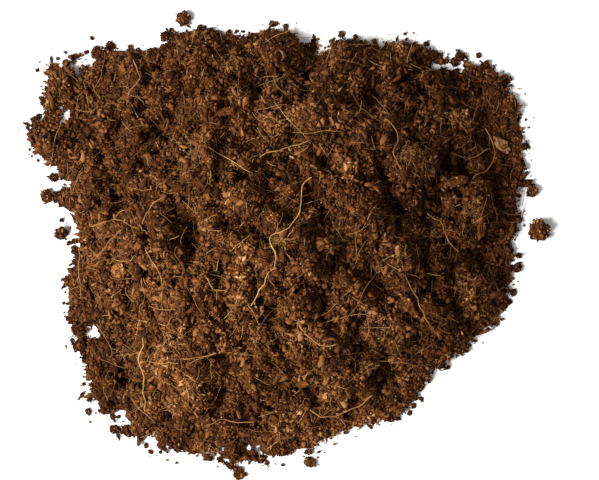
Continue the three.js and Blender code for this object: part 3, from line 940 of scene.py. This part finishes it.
tuft_shapes = shape_collection("tuft hairs", [
    hair_shape(680 + number, (3.5 + 0.7 * number) * MM, TUFT_STEPS, TUFT_RADIUS, TUFT_CURL)
    for number in range(6)
])
upright_lines = []
for x, y in TUFT_PLACES:
    bpy.ops.object.select_all(action="DESELECT")
    bpy.ops.mesh.primitive_cylinder_add(
        vertices=3, radius=LINE_RADIUS, depth=LINE_HEIGHT, end_fill_type="NOTHING",
        location=(x * MM, y * MM, 0),
    )
    upright_lines.append(bpy.context.object)
for line in upright_lines:
    line.select_set(True)
bpy.ops.object.join()
bpy.ops.object.transform_apply()
tuft_lines = bpy.context.object
tufts = scattered(
    "coir_tufts", skin, coir, shapes=tuft_shapes, density=1.4e6, fewest=0.3, patch=150.0,
    size=(0.6, 1.2), seed=690, lift=(0.4 * MM, 1.6 * MM), lean=0.5, near=(tuft_lines, TUFT_REACH),
)

# %% [markdown]
# ## Husk flakes
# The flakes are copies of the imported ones. The clumps under them are cracked by now, so each flake is
# let down until it beds on the nearest clump, which a ray from over each of its corners finds. Subdividing
# with some fractal noise breaks its flat faces and straight edges, and a Displace modifier frays them
# further, as torn husk is. Pith has fallen on the flakes too, so specks lie over parts of them.

# %% Husk flakes
FLAKE_DROP_START = Vector((0, 0, 20 * MM))
FLAKE_BEDDING = 0.9 * MM
FLAKE_CUTS = 5
FLAKE_BREAKAGE = 1.6
TEAR_LENGTH = 1.4 * MM
TEAR_DEPTH = 1.3 * MM
FLAKE_TINTS = [0.97, 0.86, 0.6, 0.4, 0.55, 0.5, 0.7, 0.45]


def heading_of(piece):
    corners = [vertex.co for vertex in piece.data.vertices]
    middle = sum(corners, Vector()) / len(corners)
    away = [corner - middle for corner in corners]
    across = 2 * sum(v.x * v.y for v in away)
    spread = sum(v.x * v.x - v.y * v.y for v in away)
    return math.atan2(across, spread) / 2


def fall_onto(ground, piece):
    falls = []
    for corner in piece.data.vertices:
        hit, place = ground.ray_cast(corner.co + FLAKE_DROP_START, Vector((0, 0, -1)))[:2]
        if hit:
            falls.append(corner.co.z - place.z)
    return min(falls)


tears = bpy.data.textures.new("tears", "CLOUDS")
tears.cloud_type = "COLOR"
tears.noise_scale = TEAR_LENGTH
flake_nodes = sorted(name for name in frame["nodes"] if name.startswith("husk_flake"))
flakes = []
for number, node in enumerate(flake_nodes):
    flake = merged_copy(node.replace("husk_flake", "flake"), [node])
    settling = FLAKE_BEDDING - fall_onto(skin, flake)
    bpy.ops.object.mode_set(mode="EDIT")
    bpy.ops.mesh.select_all(action="SELECT")
    bpy.ops.transform.translate(value=(0, 0, settling))
    bpy.ops.mesh.subdivide(
        number_cuts=FLAKE_CUTS, fractal=FLAKE_BREAKAGE, fractal_along_normal=0.4, seed=number,
    )
    bpy.ops.object.mode_set(mode="OBJECT")
    apply_modifier(flake, "DISPLACE", texture=tears, texture_coords="LOCAL", direction="RGB_TO_XYZ",
                   strength=TEAR_DEPTH, mid_level=0.5)
    remember_places(flake, heading_of(flake))
    give_tint(flake, FLAKE_TINTS[number])
    flake.data.materials.append(chip_husk)
    flakes.append(flake)
print(len(flakes), "flakes of", triangles(flakes[0]), "triangles")

bpy.ops.object.select_all(action="DESELECT")
for flake in flakes:
    flake.select_set(True)
bpy.ops.object.duplicate()
bpy.context.view_layer.objects.active = bpy.context.selected_objects[0]
bpy.ops.object.join()
all_flakes = bpy.context.object
flake_dust = scattered(
    "flake_dust", all_flakes, pith, shapes=speck_shapes, density=9.0e5, fewest=0.0, patch=300.0,
    size=(0.4, 1.1), seed=700, lift=(-0.1 * MM, 0.3 * MM),
)

# %% [markdown]
# ## Riding and replacing
# The helper shapes have done their work and are removed. Nothing moves, so every piece rides on the one
# body. The underlayer, the clods, the fibres and the flakes stand for the imported solids, which stay for
# collision.

# %% Riding and replacing
helpers = [foot_line, table_patch, tuft_lines, all_flakes]
shape_groups = [
    speck_shapes, grain_shapes, chip_shapes, clump_shapes, hair_shapes, bristle_shapes, tuft_shapes,
]
for group in shape_groups:
    helpers.extend(group.objects)
for helper in helpers:
    bpy.data.objects.remove(helper)

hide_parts("pith_heap")
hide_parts(*stray_nodes)
for fibre, node in zip(fibres, fibre_nodes):
    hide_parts(node)
for flake, node in zip(flakes, flake_nodes):
    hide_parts(node)
pieces = {
    "pith": [skin, *specks, grains, crumbs, stray_cores, stray_specks, foot_clumps, foot_specks,
             flake_dust],
    "fibre": [hairs, bristles, tufts, *fibres],
    "husk": [chips, *flakes],
}
for slot, members in pieces.items():
    for piece in members:
        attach(piece, "root")
print(sum(len(members) for members in pieces.values()), "pieces ride on root")
